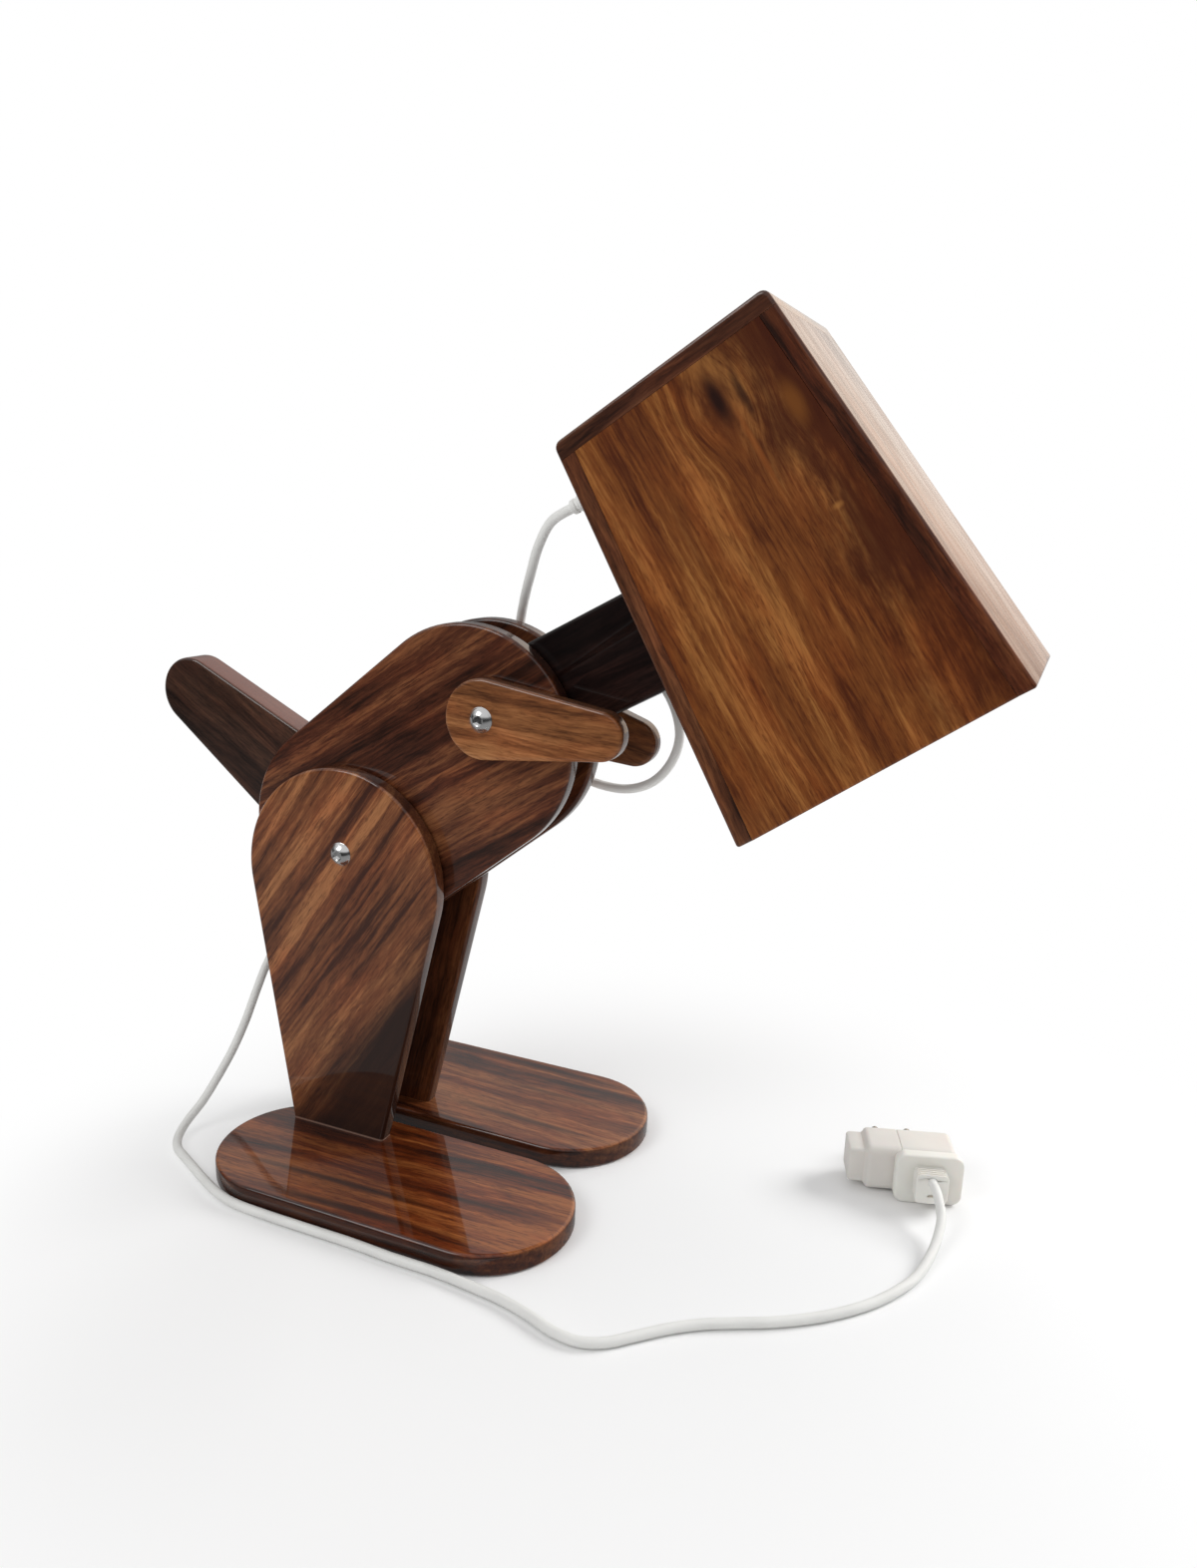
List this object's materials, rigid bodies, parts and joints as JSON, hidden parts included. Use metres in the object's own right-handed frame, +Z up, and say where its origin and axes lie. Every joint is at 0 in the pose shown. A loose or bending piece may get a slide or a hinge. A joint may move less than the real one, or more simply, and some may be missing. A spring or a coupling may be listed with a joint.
{
  "type": "desk lamp",
  "caption": "Wooden dinosaur-shaped desk lamp: flat plates swing on hip and shoulder bolts, and a tapered box shade is the head. It has a mains lead with a plug.",
  "frame": {"origin": "middle of the lamp's bounding box at the table, without its lead and plug", "axes": "+X forward, the way the dinosaur faces, +Z up, the dinosaur's right side is -Y; every swing joint turns about Y"},
  "size_m": [0.498, 0.2416, 0.4696],
  "materials": {
    "foot_wood": "high-gloss lacquered dark walnut",
    "leg_wood": "high-gloss lacquered walnut",
    "body_wood": "high-gloss lacquered walnut",
    "tail_wood": "high-gloss lacquered dark wood",
    "neck_wood": "high-gloss lacquered near-black wood",
    "arm_wood": "high-gloss lacquered light walnut",
    "head_frame_wood": "high-gloss lacquered dark walnut",
    "head_panel_wood": "high-gloss lacquered amber wood with dark streaks",
    "bolt_chrome": "polished",
    "screw_steel": "plain",
    "washer_nylon": "matte nylon",
    "holder_plastic": "smooth",
    "contact_brass": "plain",
    "bulb_metal": "rolled thread",
    "bulb_opal": "opal white",
    "cord_white": "smooth white sheath",
    "plug_white": "moulded white",
    "pin_metal": "nickel plated"
  },
  "bodies": {
    "stand": {"right_leg": "leg_wood", "right_foot": "foot_wood", "right_foot_screws": "screw_steel", "cord_lower": "cord_white", "cord_floor": "cord_white", "plug_body": "plug_white", "plug_flange": "plug_white", "plug_clamp": "plug_white", "plug_pins": "pin_metal"},
    "torso": {"right_body_plate": "body_wood", "left_body_plate": "body_wood", "hip_bolt": "bolt_chrome", "hip_cap_nut": "bolt_chrome", "shoulder_bolt": "bolt_chrome", "shoulder_cap_nut": "bolt_chrome", "friction_washers": "washer_nylon", "cord_middle": "cord_white"},
    "head": {"neck": "neck_wood", "head_top_board": "head_frame_wood", "head_back_board": "head_frame_wood", "head_front_board": "head_frame_wood", "head_right_panel": "head_panel_wood", "head_left_panel": "head_panel_wood", "neck_screws": "screw_steel", "lampholder_base": "holder_plastic", "lampholder_shell": "holder_plastic", "lampholder_contact": "contact_brass", "lampholder_screws": "screw_steel", "bulb_cap": "bulb_metal", "bulb_glass": "bulb_opal", "cord_bushing": "cord_white", "cord_inner": "cord_white", "cord_upper": "cord_white"},
    "tail": {"tail": "tail_wood"},
    "right_arm": {"right_arm": "arm_wood"},
    "left_arm": {"left_arm": "arm_wood"},
    "left_leg": {"left_leg": "leg_wood", "left_foot": "foot_wood", "left_foot_screws": "screw_steel"}
  },
  "joints": [
    {"name": "hip", "type": "hinge", "parent": "stand", "child": "torso", "pos_m": [-0.10658, 0, 0.186], "axis": [0, 1, 0], "range_deg": [-25, 20], "deforming": ["cord_lower"]},
    {"name": "neck", "type": "hinge", "parent": "torso", "child": "head", "pos_m": [-0.01779, 0, 0.27196], "axis": [0, -1, 0], "range_deg": [-40, 40], "deforming": ["cord_upper"]},
    {"name": "right_arm", "type": "hinge", "parent": "torso", "child": "right_arm", "pos_m": [-0.01779, 0, 0.27196], "axis": [0, -1, 0], "range_deg": [-80, 75]},
    {"name": "left_arm", "type": "hinge", "parent": "torso", "child": "left_arm", "pos_m": [-0.01779, 0, 0.27196], "axis": [0, -1, 0], "range_deg": [-70, 75]},
    {"name": "tail", "type": "hinge", "parent": "torso", "child": "tail", "pos_m": [-0.10658, 0, 0.186], "axis": [0, 1, 0], "range_deg": [-30, 35]},
    {"name": "left_leg", "type": "hinge", "parent": "stand", "child": "left_leg", "pos_m": [-0.10658, 0, 0.186], "axis": [0, -1, 0], "range_deg": [-5, 35]}
  ]
}
